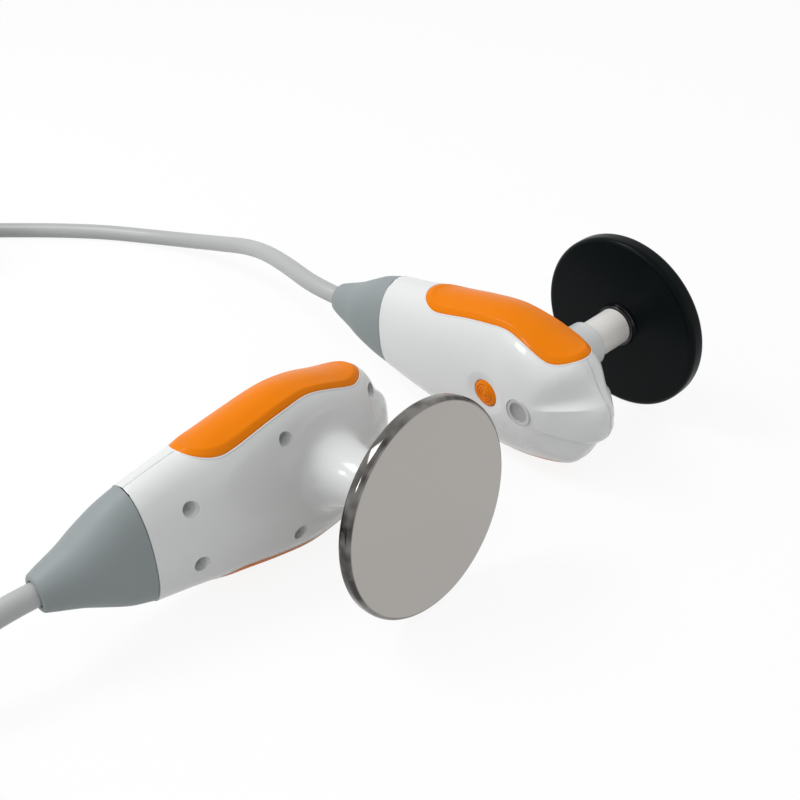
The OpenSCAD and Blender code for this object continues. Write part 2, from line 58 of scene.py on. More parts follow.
# Where each handle lies on the table (mm) and how it is turned (roll, pitch, heading in degrees)
HANDLES = {
    "steel": {"at": (-31.0, -27.5, 30.6), "turn": (84.8, -1.5, 48.3)},
    "black": {"at": (46.7, 27.9, 29.7), "turn": (-83.8, 1.9, -47.9)},
}

# The handle's outline along X: place, half width, top, bottom, seam height, lean of the section
HANDLE_ROWS = [
    (-63, 19.8, 1.3, -22.2, -10.2, -0.12),
    (-50, 22.3, 2.9, -22.5, -9.2, -0.05),
    (-36, 24.8, 6.2, -22.4, -7.8, 0),
    (-22, 27.4, 8.4, -21.8, -6.4, 0),
    (-8, 29.3, 9.6, -21.4, -5.2, 0),
    (4, 28.1, 10.7, -21.6, -4.6, 0),
    (14, 25.6, 10.8, -21.0, -4.2, 0),
    (21, 24.0, 9.0, -18.9, -4, 0),
    (24.5, 22.8, 7.5, -16.9, -4, 0),
    (26.5, 21.2, 6.5, -15.7, -4, 0),
    (28.3, 18.7, 5.6, -14.6, -4, 0),
    (30.1, 15.0, 4.7, -13.6, -4, 0),
    (32.1, 11.8, 3.3, -12.3, -4, 0),
    (34, 9.4, 1.6, -10.9, -4, 0),
    (36, 7.2, -0.2, -9.0, -4, 0),
    (37.1, 4.8, -1.5, -7.2, -4, 0),
    (37.6, 2.0, -2.7, -5.4, -4, 0),
]
REAR_X = HANDLE_ROWS[0][0]
SQUARENESS = 2.3
# The shells: wall thickness and the roundness of their edge
WALL = 2.4
EDGE_R = 0.28
# How suddenly the skin closes at the nose's very front
CLOSING = 60
# The two hollows beside the nose's lobe, on the electrode side (1) and the button side (-1): how deep they are,
# where they begin along X, and where they start, are deepest and end (degrees about the button)
DENT_DEPTH = {1: 1.4, -1: 3.6}
DENT_X = (14.0, 30.0)
DENT_TURN = (10.4, 16.0, 36.0)

# The rubber boot: place, half width, half thickness, height of its middle, lean
BOOT_ROWS = [
    (-94.0, 5.9, 5.8, -14.3, -0.10),
    (-91, 7.1, 6.9, -14.0, -0.10),
    (-84, 9.9, 8.9, -13.1, -0.11),
    (-78, 13.2, 10.5, -12.4, -0.11),
    (-71, 17.0, 11.4, -11.4, -0.12),
    (-65, 19.2, 11.7, -10.7, -0.12),
    (-63.3, 19.7, 11.72, -10.48, -0.12),
]
BOOT_TIP = Vector((-94.6, 0, -14.4))
CABLE_SLOPE = 6.9

# The grips: their ends along X, how long their round ends are, and half their height as an angle of the section
GRIP_X = (-44.2, 25.5)
GRIP_ROUND = (11.0, 9.5)
GRIP_OUTLINE = [(-45, 38), (-31, 37.4), (-20, 34.4), (-10, 32.6), (-1, 29.3), (8, 32), (17, 35), (27, 36)]
GRIP_DEPTH = 8.6
GRIP_COUNT = 160
SCREW_SPOTS = [(-50.2, 10, -9.2), (-15.1, 17.4, -5.8), (24.6, 15.3, -4)]
SCREW_HOLE_R = 2.35
NECK_R = 8.9
NECK_TOP = 27.9
NECK_START = 6.2
FLARE_R = 20.5
BORE_R = 7.3
BUTTON_X = -5.8
WINDOW_X = 10.5
WINDOW_FIELD_R = 3.9
WINDOW_HOLE_R = 5.36
BUTTON_HOLE_R = 5.32
FACE_Z = -21.5
DISH_R = 8.7
DISH_DEPTH = 1.35

# The leads' routes (mm), from inside the boot to the coil, as in the CAD source
ROUTES = {
    "steel": [
        (-101.6, -85.9, 26.9), (-109.1, -92.5, 26.5), (-118.4, -100.5, 24.5), (-129.2, -110, 19.5),
        (-140, -119.8, 13.2), (-150, -129.2, 7.8), (-159.6, -138.2, 4.7), (-168.4, -146.3, 3.75),
    ],
    "black": [
        (-24.3, 85.9, 31.2), (-31.8, 92.5, 31.3), (-41.4, 104, 31.1), (-52.2, 122, 30), (-63, 142, 26.6),
        (-75, 163, 20.6), (-90, 183, 13.4), (-108, 200, 7.6), (-130, 212.5, 4.4), (-155, 219.5, 3.8),
        (-180, 222.2, 3.75), (-206, 222.6, 3.75), (-230, 222, 3.75), (-248.3, 220.5, 3.75),
    ],
}
COILS = {
    "steel": {"at": (-151, -191), "start": 131.4, "turns": 6.885},
    "black": {"at": (-260, 174), "start": 96.0, "turns": 6.236},
}
COIL_R = 45.0
COIL_PITCH = 8.1
COIL_LAYERS = 4
TAIL_RUN = 66.0
TAIL_DOWN = [(0, 0), (0.15, 0), (0.38, -1.6), (0.6, -6.6), (0.79, -12.6), (0.92, -15.6), (1, -16.2)]
PLUG_Z = 8.0
RELIEF_L = 22.0
PLUG_L = 24.0

# The photograph's camera
CAMERA_AT = Vector((-3.05, -330.0, 238.0))
CAMERA_DOWN = 31.46
CAMERA_LENS = 51.2

# The studio: each softbox's place, what it faces, its width and height (m) and its watts
SOFTBOXES = {
    "softbox_high": ((-0.6, 0.1, 0.8), (0, 0, 0.02), 0.3, 0.3, 3.5),
    "softbox_left": ((-0.85, -0.35, 0.6), (0, 0, 0.03), 0.14, 0.2, 1.7),
    "softbox_right": ((0.75, -0.7, 0.3), (0, 0, 0.03), 0.6, 0.4, 0.5),
}
# The dome's light near the horizon and overhead, and how much of the floor's white is its own glow
DOME_LIGHT = (0.49, 0.6)
FLOOR_GLOW = 0.9


def linear(code):
    """An sRGB hex value as linear red, green and blue."""
    parts = [int(code[i : i + 2], 16) / 255 for i in (1, 3, 5)]
    return tuple(p / 12.92 if p <= 0.04045 else ((p + 0.055) / 1.055) ** 2.4 for p in parts)


def colour(name, about, code):
    return FloatVectorProperty(name=name, description=about, subtype="COLOR", min=0, max=1, default=linear(code))


def size(name, about, millimetres):
    return FloatProperty(
        name=name, description=about, subtype="DISTANCE", unit="LENGTH", min=0, default=millimetres * MM
    )


class HandpieceSizes(bpy.types.PropertyGroup):
    """Sizes that a user would change."""

    disc_diameter: size("Disc diameter", "Diameter of both electrode discs", 70)
    disc_back: size("Disc height", "Height of a disc's back over the handle's origin", 45.5)
    steel_thickness: size("Steel disc thickness", "Thickness of the steel disc", 4.6)
    black_thickness: size("Black disc thickness", "Thickness of the coated disc", 7)
    sleeve_diameter: size("Stem diameter", "Diameter of the pale stem", 14.4)
    button_diameter: size("Button diameter", "Diameter of the push button", 10.4)
    window_diameter: size("Window diameter", "Diameter of the indicator window", 10.6)
    lead_diameter: size("Lead diameter", "Diameter of the leads", 7.5)
    seam_gap: size("Seam gap", "Gap between the two half shells", 0.16)


class HandpieceColours(bpy.types.PropertyGroup):
    """Colours that a user would change."""

    shell: colour("Shell", "White of the shells", "#E8EAEA")
    grip: colour("Grip", "Orange of the grips and the button", "#F28300")
    boot: colour("Boot", "Grey of the rubber boots", "#929A9B")
    lead: colour("Lead", "Grey of the leads", "#B4B6B6")
    steel: colour("Steel", "Polished steel", "#A6A39F")
    coating: colour("Coating", "Black coating of the rear disc", "#03090B")
    stem: colour("Stem", "Pale stem behind a disc", "#FBF9F5")
    window: colour("Window", "Sunk field of the indicator window", "#9C9C9C")
    window_rim: colour("Window rim", "Rim of the indicator window", "#C2C3C3")
    floor: colour("Floor", "Table and background", "#FFFFFF")
    floor_bounce: colour("Floor's light", "Colour of the light that the floor throws back", "#C4C4C3")


def sizes():
    return bpy.context.scene.handpiece_sizes


def colours():
    return bpy.context.scene.handpiece_colours


# Shape of the handle


def between(a, b, c, d, t):
    """Catmull-Rom curve from b to c."""
    return tuple(
        0.5 * (2 * q + (r - p) * t + (2 * p - 5 * q + 4 * r - s) * t * t + (3 * q - p - 3 * r + s) * t**3)
        for p, q, r, s in zip(a, b, c, d)
    )


def smoothed(rows, steps):
    """Rows with more rows between them, on a smooth curve through them all."""
    made = []
    last = len(rows) - 1
    for i in range(last):
        near = [rows[min(max(k, 0), last)] for k in (i - 1, i, i + 1, i + 2)]
        made += [between(*near, k / steps) for k in range(steps)]
    return made + [tuple(rows[last])]


FINE_ROWS = smoothed(HANDLE_ROWS, 16)
GRIP_FINE = smoothed(GRIP_OUTLINE, 4)


def row_at(rows, x):
    """The row at x, between the two rows nearest to it."""
    if x <= rows[0][0]:
        return rows[0]
    for low, high in zip(rows, rows[1:]):
        if x <= high[0]:
            t = (x - low[0]) / (high[0] - low[0])
            return tuple(p + (q - p) * t for p, q in zip(low, high))
    return rows[-1]


def power(value, exponent):
    return math.copysign(abs(value) ** exponent, value)


def smooth_step(low, high, value):
    t = min(max((value - low) / (high - low), 0), 1)
    return t * t * (3 - 2 * t)


def soft_max(a, b, blend):
    """The larger of two heights, with a fillet where they meet."""
    over = max(blend - abs(a - b), 0) / blend
    return max(a, b) + over * over * blend / 4


def polar(centre_x, angle, radius):
    """X and Y of a point seen from (centre_x, 0)."""
    return centre_x + radius * math.cos(angle), radius * math.sin(angle)


def grip_angle(x):
    """Half the grip's height at x, as an angle of the section. Its ends are rounded."""
    ends = 1.0
    for near, length in zip((x - GRIP_X[0], GRIP_X[1] - x), GRIP_ROUND):
        ends *= math.sqrt(max(1 - (1 - min(max(near, 0) / length, 1)) ** 2, 0))
    return row_at(GRIP_FINE, x)[1] * ends


def skin_point(x, angle, out):
    """A point of the rounded section at x, moved outwards by out. Angle 0 is on +Y and 90 on top."""
    place, width, top, bottom, seam, lean = row_at(FINE_ROWS, x)
    rise = (top - seam if math.sin(angle) >= 0 else seam - bottom) + out
    z = rise * power(math.sin(angle), 2 / SQUARENESS)
    y = (width + out) * power(math.cos(angle), 2 / SQUARENESS)
    return Vector((x + lean * z, y, seam + z))


def dent(x, y, side):
    """How far the hollows beside the nose's lobe pull the skin in."""
    low, deep, high = DENT_TURN
    turn = math.degrees(math.atan2(abs(y), x - BUTTON_X))
    if turn < deep:
        across = math.sin(math.pi / 2 * min(max((turn - low) / (deep - low), 0), 1))
    else:
        across = 1 - smooth_step(deep, high, turn)
    return DENT_DEPTH[side] * across * smooth_step(*DENT_X, x)


def skin_height(x, y, side, close=0.0):
    """Height of the skin over or under the seam plane. close runs to 1 where the nose closes."""
    place, width, top, bottom, seam, lean = row_at(FINE_ROWS, x)
    rise = top - seam if side > 0 else seam - bottom
    used = min((abs(y) / width) ** SQUARENESS + close, 1)
    return max(rise - dent(x, y, side), 0.1) * (1 - used) ** (1 / SQUARENESS)


def closing_at(x, y):
    """How far the skin closes at a point of the edge: 0 at the open rear and the sides, 1 at the nose's tip."""
    if x < REAR_X + 0.1:
        return 0.0
    return 1 - min(abs(y) / row_at(FINE_ROWS, x)[1], 1) ** SQUARENESS


def closed_height(x, y, side):
    """Height of the skin where a half shell's rays run out to the closing nose."""
    centre = 0.0 if side > 0 else BUTTON_X
    angle = math.atan2(y, x - centre)
    reach = plan_edge(centre, angle)
    share = min(math.hypot(x - centre, y) / reach, 1)
    return skin_height(x, y, side, closing_at(*polar(centre, angle, reach)) * share**CLOSING)


def inside_plan(x, y):
    return REAR_X <= x <= HANDLE_ROWS[-1][0] and abs(y) <= row_at(FINE_ROWS, x)[1]


def plan_edge(centre_x, angle):
    """Where a ray from the middle plane meets the handle's edge seen from above."""
    low, high = 0.0, 120.0
    for _ in range(40):
        mid = (low + high) / 2
        if inside_plan(*polar(centre_x, angle, mid)):
            low = mid
        else:
            high = mid
    return low


# Mesh building


def outward(mesh):
    """Merges the seams and turns every face outwards."""
    bmesh.ops.remove_doubles(mesh, verts=mesh.verts, dist=1e-5)
    bmesh.ops.dissolve_degenerate(mesh, edges=mesh.edges, dist=1e-5)
    bmesh.ops.recalc_face_normals(mesh, faces=mesh.faces)
    if mesh.calc_volume(signed=True) < 0:
        bmesh.ops.reverse_faces(mesh, faces=mesh.faces)
    return mesh


def loft(count, rings, closed=False):
    """A skin through rings of count points, each a function of a point's number. closed joins the last to the first."""
    mesh = bmesh.new()
    number = mesh.verts.layers.int.new("number")
    bmesh.ops.create_circle(mesh, segments=count, radius=1)
    mesh.verts.ensure_lookup_table()
    for i, vert in enumerate(mesh.verts):
        vert[number] = i
        vert.co = rings[0](i)
    first = edges = mesh.edges[:]
    for ring in rings[1:]:
        grown = bmesh.ops.extrude_edge_only(mesh, edges=edges)["geom"]
        verts = {g for g in grown if isinstance(g, bmesh.types.BMVert)}
        for vert in verts:
            vert.co = ring(vert[number])
        edges = [g for g in grown if isinstance(g, bmesh.types.BMEdge) and set(g.verts) <= verts]
    if closed:
        bmesh.ops.bridge_loops(mesh, edges=[e for e in first if e.is_boundary] + edges)
    return outward(mesh)


def lathe(profile, steps=96):
    """A solid of revolution about Z from (radius, height) points. Points on the axis close to a pole."""
    mesh = bmesh.new()
    verts = [mesh.verts.new((r, 0, z)) for r, z in profile]
    edges = [mesh.edges.new(pair) for pair in zip(verts, verts[1:])]
    if profile[0][0] > 0:
        edges.append(mesh.edges.new((verts[-1], verts[0])))
    bmesh.ops.spin(
        mesh, geom=verts + edges, axis=(0, 0, 1), cent=(0, 0, 0), angle=math.tau, steps=steps, use_merge=True
    )
    return outward(mesh)


def shifted(mesh, vec):
    bmesh.ops.translate(mesh, verts=mesh.verts, vec=vec)
    return mesh


def arc(centre, radius, start, end, steps):
    """Points of a round corner, by angles in degrees."""
    angles = [math.radians(start + (end - start) * k / steps) for k in range(steps + 1)]
    return [(centre[0] + radius * math.cos(a), centre[1] + radius * math.sin(a)) for a in angles]


def linked(name, data):
    made = bpy.data.objects.new(name, data)
    bpy.context.scene.collection.objects.link(made)
    return made


def to_object(mesh, name):
    data = bpy.data.meshes.new(name)
    mesh.to_mesh(data)
    mesh.free()
    return linked(name, data)


def cut(target, cutters, operation="DIFFERENCE"):
    """Booleans the cutters with the target and removes them."""
    for tool in cutters:
        modifier = target.modifiers.new("cut", "BOOLEAN")
        modifier.operation = operation
        modifier.solver = "MANIFOLD"
        modifier.object = tool
    depsgraph = bpy.context.evaluated_depsgraph_get()
    made = bpy.data.meshes.new_from_object(target.evaluated_get(depsgraph))
    target.modifiers.clear()
    old, target.data = target.data, made
    bpy.data.meshes.remove(old)
    made.name = target.name
    for tool in cutters:
        bpy.data.objects.remove(tool)


def handle_matrix(which):
    turn = Euler([math.radians(a) for a in HANDLES[which]["turn"]], "XYZ")
    return Matrix.Translation(HANDLES[which]["at"]) @ turn.to_matrix().to_4x4()


def finish(made, matrix, body, material, nodes=(), crease=35):
    """Keeps the mesh's own coordinates for its pattern, puts it in its place and gives it to its body."""
    data = made.data
    own = data.attributes.new("own", "FLOAT_VECTOR", "POINT")
    own.data.foreach_set("vector", [c for v in data.vertices for c in v.co])
    data.transform(Matrix.Scale(MM, 4) @ matrix)
    mesh = bmesh.new()
    mesh.from_mesh(data)
    for face in mesh.faces:
        face.smooth = True
    for edge in mesh.edges:
        edge.smooth = len(edge.link_faces) == 2 and edge.calc_face_angle(0) < math.radians(crease)
    mesh.to_mesh(data)
    mesh.free()
    data.materials.clear()
    data.materials.append(material)
    data.update()
    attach(made, body)
    if nodes:
        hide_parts(*nodes)
    return made


def dress(mesh, which, part, kind, body="handpiece", crease=35, place=None):
    """Finishes the piece, a mesh or an object, that stands for one CAD node of a handpiece."""
    node = f"{which}_{part}"
    made = to_object(mesh, node + "_form") if isinstance(mesh, bmesh.types.BMesh) else mesh
    return finish(made, place or handle_matrix(which), f"{which} {body}", material(kind), [node], crease)


# Materials


def add(tree, kind, inputs=None, **settings):
    """Adds a node with its settings, and sets or links its inputs."""
    made = tree.nodes.new(kind)
    for key, value in settings.items():
        setattr(made, key, value)
    for key, value in (inputs or {}).items():
        if isinstance(value, bpy.types.NodeSocket):
            tree.links.new(value, made.inputs[key])
        else:
            made.inputs[key].default_value = value
    return made


def start(name, **values):
    """A new material, its node tree and its shader with the given plain values."""
    made = bpy.data.materials.new(name)
    made.use_nodes = True
    tree = made.node_tree
    shader = tree.nodes["Principled BSDF"]
    for key, value in values.items():
        shader.inputs[key.replace("_", " ")].default_value = value
    return made, tree, shader


def rgba(value, factor=1.0):
    return (*[min(c * factor, 1) for c in value[:3]], 1)


def own_place(tree):
    return add(tree, "ShaderNodeAttribute", attribute_name="own").outputs["Vector"]


def mottle(tree, shader, base, place, scale, spread, roughness, rough_spread):
    """Slow changes of colour and gloss over a surface, as no real one is quite even."""
    noise = add(tree, "ShaderNodeTexNoise", {"Vector": place, "Scale": scale, "Detail": 3.0})
    value = noise.outputs["Fac"]
    shades = {"Factor": value, 6: rgba(base, 1 - spread), 7: rgba(base, 1 + spread)}
    tint = add(tree, "ShaderNodeMix", shades, data_type="RGBA")
    range_of_gloss = {"Value": value, 3: roughness - rough_spread, 4: roughness + rough_spread}
    gloss = add(tree, "ShaderNodeMapRange", range_of_gloss)
    tree.links.new(tint.outputs[2], shader.inputs["Base Color"])
    tree.links.new(gloss.outputs["Result"], shader.inputs["Roughness"])


def bumps(tree, shader, height, depth):
    bump = add(tree, "ShaderNodeBump", {"Height": height, "Distance": depth, "Strength": 1.0})
    tree.links.new(bump.outputs["Normal"], shader.inputs["Normal"])


def grain(tree, shader, place, scale, depth):
    """Fine bumps, with their depth in metres."""
    noise = add(tree, "ShaderNodeTexNoise", {"Vector": place, "Scale": scale, "Detail": 2.0})
    bumps(tree, shader, noise.outputs["Fac"], depth)


def turned(tree, shader, along, pitch, depth):
    """The fine rings that a lathe leaves, pitch millimetres apart and depth metres deep."""
    rings = add(tree, "ShaderNodeMath", {0: along, 1: math.tau / pitch}, operation="MULTIPLY")
    wave = add(tree, "ShaderNodeMath", {0: rings.outputs[0]}, operation="SINE")
    bumps(tree, shader, wave.outputs[0], depth)


def from_axis(tree, place, axis_x=0.0):
    """Distance in millimetres from the upright axis through (axis_x, 0)."""
    moved = add(tree, "ShaderNodeVectorMath", {0: place, 1: (axis_x, 0, 0)}, operation="SUBTRACT")
    flat = add(tree, "ShaderNodeVectorMath", {0: moved.outputs[0], 1: (1, 1, 0)}, operation="MULTIPLY")
    return add(tree, "ShaderNodeVectorMath", {0: flat.outputs[0]}, operation="LENGTH").outputs["Value"]


def object_place(tree):
    return add(tree, "ShaderNodeTexCoord").outputs["Object"]


def plain(name, base, mottles, grains, **values):
    """A material of one colour: how it is mottled, how it is grained and its shader's plain values."""
    made, tree, shader = start(name, **values)
    place = object_place(tree)
    mottle(tree, shader, base, place, *mottles)
    grain(tree, shader, place, *grains)
    return made


def moulded_abs():
    """High-gloss moulded ABS: white and even, with the faint waviness of a polished mould in its reflections."""
    gloss = {"IOR": 1.54, "Specular_IOR_Level": 0.22, "Coat_Weight": 0.28, "Coat_Roughness": 0.03}
    return plain("moulded_gloss_abs", colours().shell, (45.0, 0.008, 0.26, 0.03), (160.0, 0.00003), **gloss)


def gloss_tpu():
    """Gloss thermoplastic elastomer: a saturated orange with a soft depth under a clear skin."""
    gloss = {"IOR": 1.5, "Specular_IOR_Level": 0.05, "Coat_Weight": 0.11, "Coat_Roughness": 0.04}
    gloss.update(Subsurface_Weight=0.05, Subsurface_Scale=0.002)
    return plain("gloss_tpu", colours().grip, (60.0, 0.03, 0.36, 0.03), (260.0, 0.00002), **gloss)


def soft_rubber():
    """Moulded soft-touch rubber: matt grey with a fine even grain of about half a millimetre."""
    gloss = {"IOR": 1.5, "Specular_IOR_Level": 0.35}
    return plain("soft_touch_rubber", colours().boot, (70.0, 0.02, 0.5, 0.04), (2000.0, 0.00003), **gloss)


def pvc_jacket():
    """Extruded PVC cable jacket: light grey, half matt, with faint lengthwise unevenness."""
    return plain("pvc_cable_jacket", colours().lead, (90.0, 0.02, 0.38, 0.04), (500.0, 0.00003), IOR=1.53)


def polished_steel():
    """Polished stainless steel: a clear grey mirror with very fine lathe rings, 0.4 mm apart. Its rim is a painted
    reflection: streaky dark greys mixed into the colour stand in for dark surroundings mirrored there.
    """
    made, tree, shader = start("polished_stainless_steel", Metallic=1.0)
    place = own_place(tree)
    away = from_axis(tree, place)
    turned(tree, shader, away, 0.4, 0.0000006)
    mottle(tree, shader, colours().steel, place, 0.04, 0.012, 0.1, 0.02)
    face = shader.inputs["Base Color"].links[0].from_socket
    # Painted reflection: over the outermost 1.5 mm of the disc the colour turns to streaky dark greys, in place of dark
    # surroundings mirrored in the rim.
    rim = sizes().disc_diameter / MM / 2 - 1.5
    edge = add(tree, "ShaderNodeMapRange", {"Value": away, 1: rim, 2: rim + 0.5})
    cloud = add(tree, "ShaderNodeTexNoise", {"Vector": place, "Scale": 0.11, "Detail": 2.0})
    painted_reflection_streaks = add(tree, "ShaderNodeMapRange", {"Value": cloud.outputs["Fac"], 1: 0.38, 2: 0.62})
    # The painted reflection's two greys, mixed in slow streaks.
    shades = {"Factor": painted_reflection_streaks.outputs["Result"], 6: rgba(linear("#444240")), 7: rgba(linear("#7E7C79"))}
    dark = add(tree, "ShaderNodeMix", shades, data_type="RGBA")
    parts = {"Factor": edge.outputs["Result"], 6: face, 7: dark.outputs[2]}
    tint = add(tree, "ShaderNodeMix", parts, data_type="RGBA")
    tree.links.new(tint.outputs[2], shader.inputs["Base Color"])
    return made


def black_coating():
    """Cured ceramic-filled black coating: deep and even, with a soft wide sheen and a faint spray texture."""
    made, tree, shader = start("black_insulating_coating", IOR=1.5, Specular_IOR_Level=0.07)
    place = own_place(tree)
    mottle(tree, shader, colours().coating, place, 0.08, 0.08, 0.3, 0.04)
    grain(tree, shader, place, 1.4, 0.00002)
    return made


def stem_plastic():
    """Turned acetal: pale, slightly warm and half matt, with fine turning rings along its length."""
    made, tree, shader = start("turned_acetal", IOR=1.48)
    place = own_place(tree)
    apart = add(tree, "ShaderNodeSeparateXYZ", {0: place})
    turned(tree, shader, apart.outputs[2], 0.5, 0.000002)
    mottle(tree, shader, colours().stem, place, 0.1, 0.012, 0.32, 0.03)
    return made


def window_plastic():
    """Smoked polycarbonate window: a lighter, glossy rim round a darker sunk field with a slightly cloudy body."""
    made, tree, shader = start("smoked_polycarbonate", IOR=1.58, Coat_Weight=0.3, Coat_Roughness=0.05)
    place = own_place(tree)
    away = from_axis(tree, place, WINDOW_X)
    edge = add(tree, "ShaderNodeMapRange", {"Value": away, 1: WINDOW_FIELD_R - 0.1, 2: WINDOW_FIELD_R + 0.1})
    noise = add(tree, "ShaderNodeTexNoise", {"Vector": place, "Scale": 0.3, "Detail": 2.0})
    shades = {"Factor": noise.outputs["Fac"], 6: rgba(colours().window, 0.94), 7: rgba(colours().window, 1.06)}
    field = add(tree, "ShaderNodeMix", shades, data_type="RGBA")
    parts = {"Factor": edge.outputs["Result"], 6: field.outputs[2], 7: rgba(colours().window_rim)}
    tint = add(tree, "ShaderNodeMix", parts, data_type="RGBA")
    tree.links.new(tint.outputs[2], shader.inputs["Base Color"])
    grain(tree, shader, place, 0.8, 0.00001)
    shader.inputs["Roughness"].default_value = 0.16
    return made


def plain_part(name, code, roughness, metallic=0.0, scale=400.0, depth=0.00002):
    """A small inner part: its colour, its gloss and a fine grain of its own."""
    return plain(name, linear(code), (scale / 4, 0.04, roughness, 0.04), (scale, depth), Metallic=metallic)


# The small inner parts: name, colour, gloss, metal, and how fine and how deep the grain is
PLAIN_PARTS = {
    # Blackened steel of the collar behind a disc
    "collar": ("blackened_steel", "#3A3A3B", 0.16, 1.0),
    # Zinc-plated screws at the bottom of the holes
    "screws": ("zinc_plated_steel", "#9A9C9C", 0.35, 1.0, 900.0),
    # Nickel-plated brass of the plug's shell
    "nickel": ("nickel_plated_brass", "#B9B6AE", 0.24, 1.0, 700.0, 0.00001),
    # Gold-plated contacts
    "gold": ("gold_plated_brass", "#C9A24E", 0.22, 1.0),
    # Glass-filled nylon of clamp, switch and bushes
    "nylon": ("glass_filled_nylon", "#26272A", 0.55, 0.0, 1200.0),
    # Unfilled nylon, which insulates the contact
    "ivory": ("ivory_nylon", "#D9D3C1", 0.5, 0.0, 1200.0),
    # Green solder mask over woven glass
    "board": ("solder_mask", "#1D5A38", 0.3, 0.0, 1500.0),
    # Cast epoxy of the light
    "led": ("clear_epoxy", "#E8E6DA", 0.12),
    # Moulded nitrile of the ring in the neck
    "seal": ("nitrile_rubber", "#17181A", 0.5, 0.0, 1200.0),
    # Extruded insulation of the inner wires
    "wire": ("pvc_wire", "#9C2E26", 0.4, 0.0, 900.0),
    # Moulded PVC of the plug's ribbed sleeve
    "relief": ("moulded_pvc", "#4A4D50", 0.48, 0.0, 1500.0, 0.00003),
}
MAKERS = {
    "abs": moulded_abs, "tpu": gloss_tpu, "rubber": soft_rubber, "pvc": pvc_jacket, "steel": polished_steel,
    "coating": black_coating, "stem": stem_plastic, "window": window_plastic,
}
MADE = {}


def material(kind):
    """The material of that kind, made once."""
    if kind not in MADE:
        MADE[kind] = MAKERS[kind]() if kind in MAKERS else plain_part(*PLAIN_PARTS[kind])
    return MADE[kind]


# Pieces of one handle


def shell_mesh(side):
    """A half shell as one closed skin: from the neck or the button's hole over the outside, round the edge and back."""
    count, steps = 320, 48
    centre = 0.0 if side > 0 else BUTTON_X
    gap = sizes().seam_gap / MM / 2
    rear_width = row_at(FINE_ROWS, REAR_X)[1]
    corners = [math.atan2(sign * rear_width, REAR_X - centre) % math.tau for sign in (1, -1)]
    if side < 0:
        corners += [math.radians(sign * turn) % math.tau for turn in DENT_TURN[:2] for sign in (1, -1)]
    angles = [math.tau * j / count for j in range(count)]
    for corner in corners:
        nearest = min(range(count), key=lambda j: abs(angles[j] - corner))
        angles[nearest] = corner
    reach = [plan_edge(centre, a) for a in angles]
    ends = [polar(centre, a, r) for a, r in zip(angles, reach)]
    closing = [closing_at(x, y) for x, y in ends]
    rear = [x < REAR_X + 0.1 and abs(abs(y) - rear_width) > 0.01 for x, y in ends]

    def on_skin(x, y, height):
        """The point so far from the seam plane, leant as the section leans."""
        row = row_at(FINE_ROWS, x)
        return Vector((x + row[5] * side * height, y, row[4] + side * height))

    def at_radius(j, r, up=0.0, least=0.0):
        x, y = polar(centre, angles[j], r)
        height = skin_height(x, y, side, closing[j] * (r / reach[j]) ** CLOSING) + up
        return on_skin(x, y, max(height, least))

    def circle(r, z):
        return lambda j: Vector((*polar(centre, angles[j], r), z))

    def flare(a):
        """The neck's foot, which meets the shell with a fillet."""

        def place(j):
            point = at_radius(j, FLARE_R - (FLARE_R - NECK_R) * math.sin(a))
            free = NECK_START + (NECK_TOP - 0.8 - NECK_START) * (1 - math.cos(a))
            point.z = soft_max(point.z, free, 2.5)
            return point

        return place

    def dish(r):
        depth = DISH_DEPTH * (1 - (r / DISH_R) ** 2) ** 1.3
        return lambda j: at_radius(j, r, -depth)

    def outer(step):
        begin = FLARE_R if side > 0 else DISH_R

        def place(j):
            low = math.asin(min((begin / reach[j]) ** (SQUARENESS / 2), 1))
            a = low + (math.pi / 2 - low) * step / steps
            return at_radius(j, reach[j] * math.sin(a) ** (2 / SQUARENESS))

        return place

    def rim(turn, depth=0.0):
        """The rounded edge, from turn 0 on the outside to 90 on its flat, moved in by depth."""
        fall = EDGE_R * (1 - math.sin(math.radians(turn)))
        aside = EDGE_R * (1 - math.cos(math.radians(turn))) + depth

        def place(j):
            x, y = ends[j]
            if rear[j]:
                height = skin_height(x, y, side)
                point = on_skin(x, y, height) + Vector((0.1 + fall, 0, 0))
                return point + Vector((0, -y, -side * height)).normalized() * aside
            point = Vector((x, y, row_at(FINE_ROWS, x)[4] + side * (gap + fall)))
            return point + Vector((centre * 0.3 - x, -y, 0)).normalized() * aside

        return place

    def inner(share):
        begin = BORE_R + 1.5 if side > 0 else 6.6
        return lambda j: at_radius(j, begin + (reach[j] - WALL - 0.3 - begin) * share, -WALL, 0.6)

    if side > 0:
        neck = [(BORE_R, 9.0), (BORE_R, NECK_TOP - 0.5)]
        neck += arc((BORE_R + 0.3, NECK_TOP - 0.3), 0.3, 180, 90, 3)[1:]
        neck += arc((NECK_R - 0.6, NECK_TOP - 0.6), 0.6, 90, 0, 5)
        rings = [circle(r, z) for r, z in neck] + [flare(math.pi / 2 * (22 - k) / 22) for k in range(22)]
    else:
        lip = BUTTON_HOLE_R + 0.12
        rings = [circle(BUTTON_HOLE_R, z) for z in (-18.8, -19.9)]
        rings += [dish(lip + (DISH_R - lip) * k / 10) for k in range(10)]
    rings += [outer(k) for k in range(steps)]
    rings += [rim(turn) for turn in (0, 30, 60, 90)] + [rim(90, depth) for depth in (1.2, 2.2)]
    rings += [inner(share) for share in (1.0, 0.93, 0.8, 0.6, 0.4, 0.2, 0.0)]
    return loft(count, rings, closed=True)


def boss_mesh(spot, sign):
    """The tube round a screw hole, with the ledge that the screw's head lies on."""
    x, y, seam = spot
    wide = 3.0 if x > 0 else 3.6
    mesh = lathe([(1.5, seam + 0.4), (wide, seam + 0.4), (wide, seam + 3), (1.5, seam + 3)], 48)
    shifted(mesh, (x, sign * y, 0))
    for vert in mesh.verts:
        if vert.co.z > seam + 2:
            vert.co.z = seam + max(closed_height(vert.co.x, vert.co.y, 1) - 1.3, 1)
    return mesh


